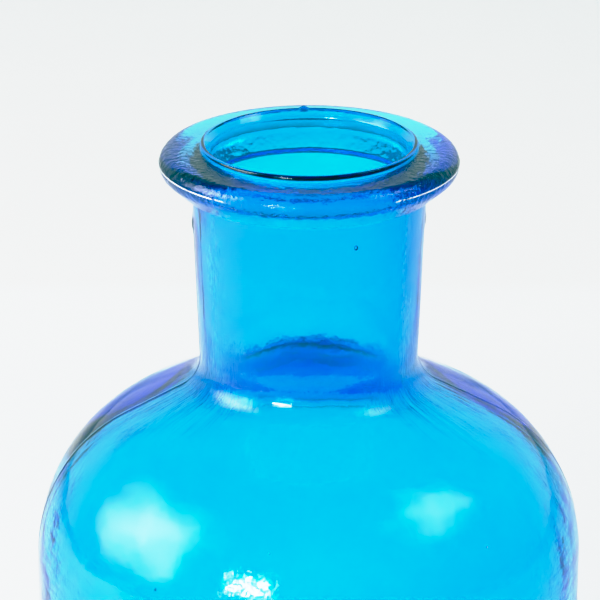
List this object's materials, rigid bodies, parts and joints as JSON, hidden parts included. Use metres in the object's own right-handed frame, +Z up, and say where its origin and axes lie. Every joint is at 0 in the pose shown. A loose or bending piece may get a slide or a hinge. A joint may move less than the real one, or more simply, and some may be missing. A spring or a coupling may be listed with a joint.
{
  "type": "glass bottle",
  "caption": "Wide-shouldered round glass storage bottle with a tapering neck, a thick laid-on collar and an open thin-lipped mouth, in clear cyan-blue glass.",
  "frame": {"origin": "centre of the base, in the plane that the bottle stands on", "axes": "+Z up along the bottle's axis, through the mouth; the front of the picture looks along +Y, and the body's mould seams lie near +X and -X"},
  "size_m": [0.1382, 0.138, 0.2406],
  "materials": {
    "vessel_glass": "clear cyan-blue blown glass, fire-polished, slightly uneven",
    "collar_glass": "the same glass where it is thick, so it reads as a deeper blue, with an orange-peel skin"
  },
  "bodies": {
    "root": {"vessel": "vessel_glass", "collar": "collar_glass"}
  },
  "joints": []
}
